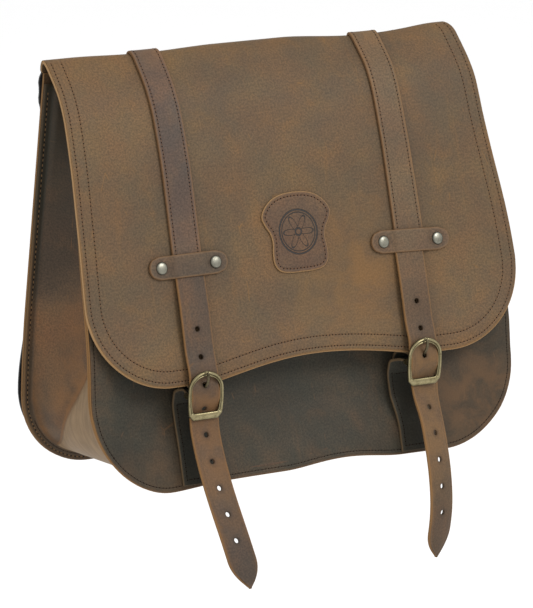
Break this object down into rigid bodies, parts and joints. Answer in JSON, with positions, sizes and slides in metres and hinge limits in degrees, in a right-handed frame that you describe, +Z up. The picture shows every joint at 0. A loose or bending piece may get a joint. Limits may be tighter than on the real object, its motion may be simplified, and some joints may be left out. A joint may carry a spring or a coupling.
{
  "type": "motorcycle saddlebag",
  "caption": "Wedge-shaped leather saddlebag with a curved lid held shut by two buckled straps, flat at the rear where it rests against a motorcycle.",
  "frame": {"origin": "middle of the flat rear face, where the bag rests against the motorcycle", "axes": "+X to the right of someone facing the bag's lid, +Y out of the rear face towards the motorcycle, +Z up towards the lid's hinge"},
  "size_m": [0.4486, 0.1901, 0.4382],
  "materials": {
    "lid_leather": "oiled pull-up leather, tan brown, waxy, with lighter rubbed marks",
    "body_leather": "oiled pull-up leather, dark grey-brown, matt",
    "tab_leather": "oiled leather, nearly black",
    "black_backing": "smooth semi-gloss black sheet",
    "antique_brass": "antique brass, dull, darker in the recesses"
  },
  "bodies": {
    "bag": {"back_panel": "body_leather", "back_protector": "black_backing", "front_panel": "body_leather", "lid_hem": "lid_leather", "gusset_left": "body_leather", "gusset_right": "body_leather", "buckle_tab_left": "tab_leather", "buckle_tab_right": "tab_leather"},
    "lid": {"lid": "lid_leather", "badge": "lid_leather", "lid_strap_left": "lid_leather", "lid_strap_right": "lid_leather", "keeper_left": "lid_leather", "keeper_right": "lid_leather", "keeper_rivet_left_outer": "antique_brass", "keeper_rivet_left_inner": "antique_brass", "keeper_rivet_right_outer": "antique_brass", "keeper_rivet_right_inner": "antique_brass"},
    "billet_left": {"billet_left": "lid_leather"},
    "tongue_left": {"buckle_tongue_left": "tab_leather"},
    "frame_left": {"buckle_frame_left": "antique_brass"},
    "prong_left": {"buckle_prong_left": "antique_brass"},
    "billet_right": {"billet_right": "lid_leather"},
    "tongue_right": {"buckle_tongue_right": "tab_leather"},
    "frame_right": {"buckle_frame_right": "antique_brass"},
    "prong_right": {"buckle_prong_right": "antique_brass"}
  },
  "joints": [
    {"name": "lid_hinge", "type": "hinge", "parent": "bag", "child": "lid", "pos_m": [0, -0.0025, 0.1768], "axis": [-1, 0, 0], "range_deg": [0, 150], "deforming": ["billet_left", "billet_right"]},
    {"name": "billet_lift_left", "type": "hinge", "parent": "lid", "child": "billet_left", "pos_m": [-0.111, -0.0924, -0.002], "axis": [-1, 0, 0], "range_deg": [0, 60], "deforming": ["billet_left"]},
    {"name": "tongue_fold_left", "type": "hinge", "parent": "bag", "child": "tongue_left", "pos_m": [-0.114, -0.1124, -0.106], "axis": [1, 0, 0], "range_deg": [0, 30]},
    {"name": "frame_swing_left", "type": "hinge", "parent": "tongue_left", "child": "frame_left", "pos_m": [-0.114, -0.1204, -0.096], "axis": [1, 0, 0], "range_deg": [0, 15]},
    {"name": "prong_swing_left", "type": "hinge", "parent": "frame_left", "child": "prong_left", "pos_m": [-0.114, -0.1204, -0.096], "axis": [1, 0, 0], "range_deg": [0, 100]},
    {"name": "billet_lift_right", "type": "hinge", "parent": "lid", "child": "billet_right", "pos_m": [0.111, -0.0924, -0.002], "axis": [-1, 0, 0], "range_deg": [0, 60], "deforming": ["billet_right"]},
    {"name": "tongue_fold_right", "type": "hinge", "parent": "bag", "child": "tongue_right", "pos_m": [0.1085, -0.1116, -0.103], "axis": [1, 0, 0], "range_deg": [0, 30]},
    {"name": "frame_swing_right", "type": "hinge", "parent": "tongue_right", "child": "frame_right", "pos_m": [0.1085, -0.1196, -0.093], "axis": [1, 0, 0], "range_deg": [0, 15]},
    {"name": "prong_swing_right", "type": "hinge", "parent": "frame_right", "child": "prong_right", "pos_m": [0.1085, -0.1196, -0.093], "axis": [1, 0, 0], "range_deg": [0, 100]}
  ]
}
